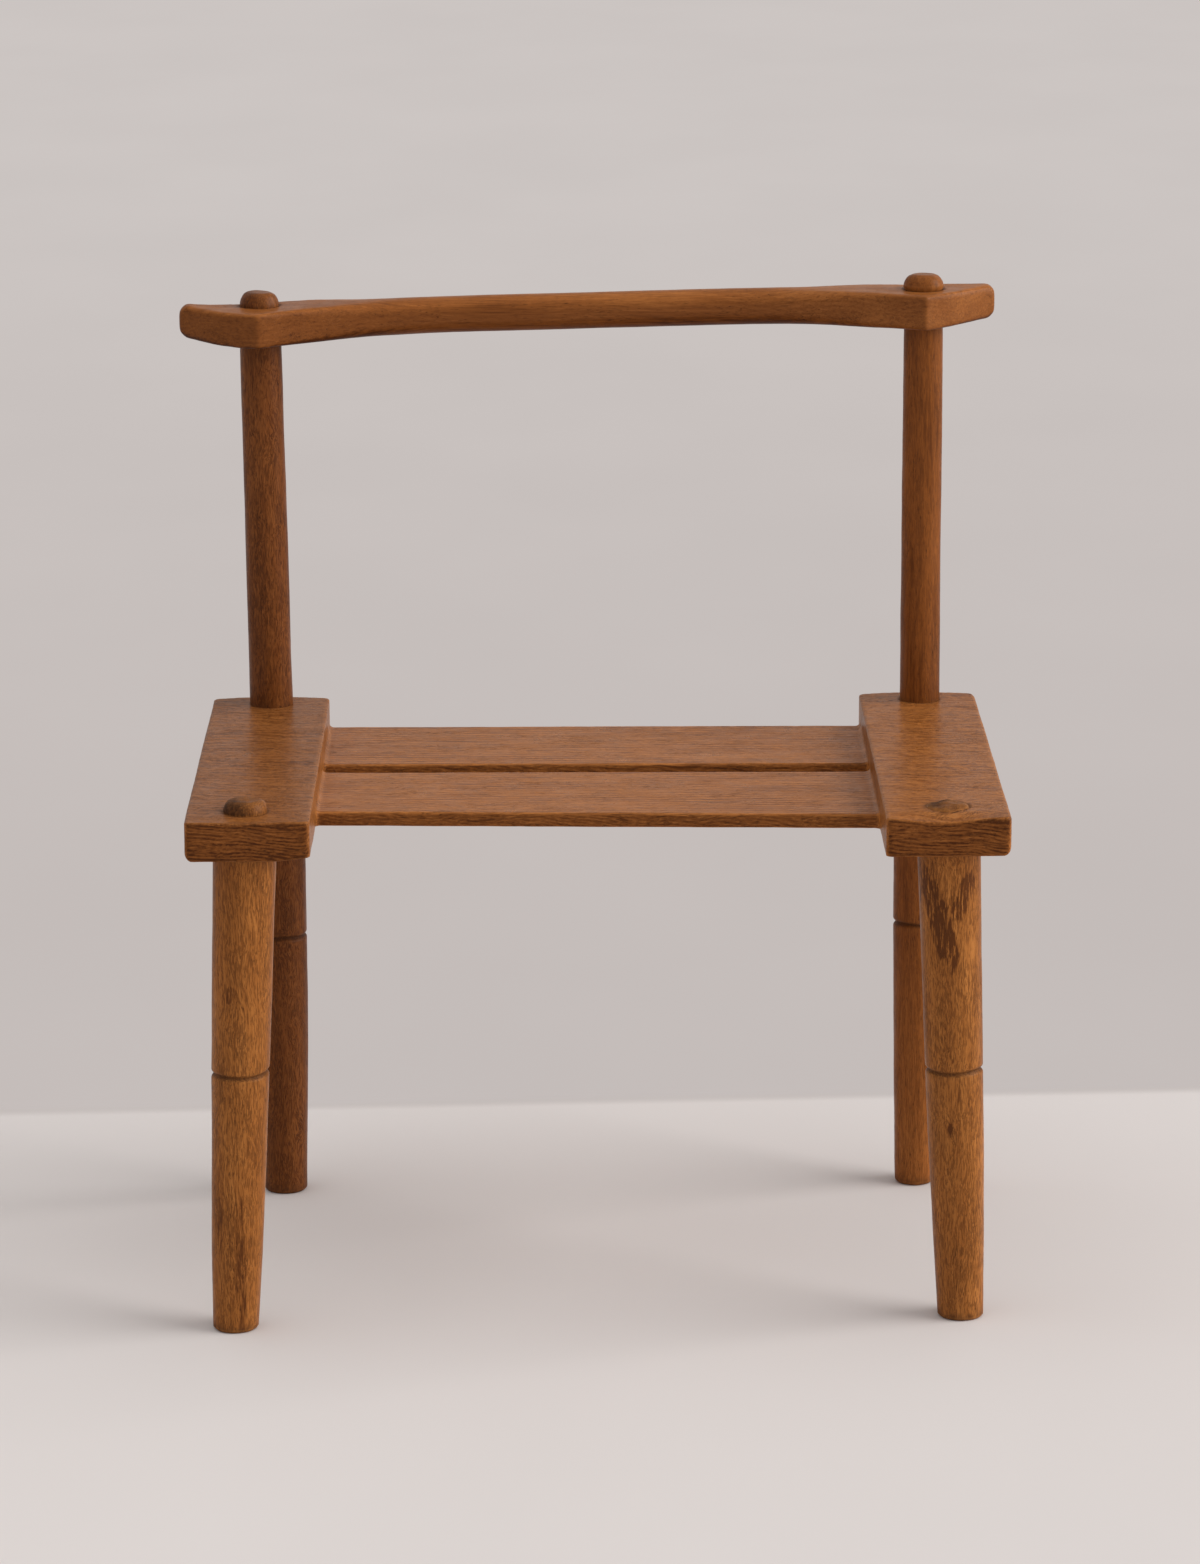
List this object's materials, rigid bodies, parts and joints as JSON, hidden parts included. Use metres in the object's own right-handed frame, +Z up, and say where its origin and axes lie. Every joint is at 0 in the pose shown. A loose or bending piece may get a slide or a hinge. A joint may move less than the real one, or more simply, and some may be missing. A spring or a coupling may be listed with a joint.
{
  "type": "birthing chair",
  "caption": "Low wooden birthing chair: a carved seat with thick side pads, thin slats and an open front, ringed round legs, and back posts through a carved crest rail.",
  "frame": {"origin": "on the floor, under the centre of the chair's overall box", "axes": "+Z up, +Y towards the back of the chair, +X to the right as seen from the front"},
  "size_m": [0.521, 0.3488, 0.6033],
  "materials": {
    "seat_wood": "oiled, worn satin",
    "pole_wood": "oiled, worn satin",
    "crest_wood": "oiled, hand polished"
  },
  "bodies": {
    "root": {"seat": "seat_wood", "left_front_leg": "pole_wood", "right_front_leg": "pole_wood", "left_rear_upright": "pole_wood", "right_rear_upright": "pole_wood", "crest_rail": "crest_wood"}
  },
  "joints": []
}
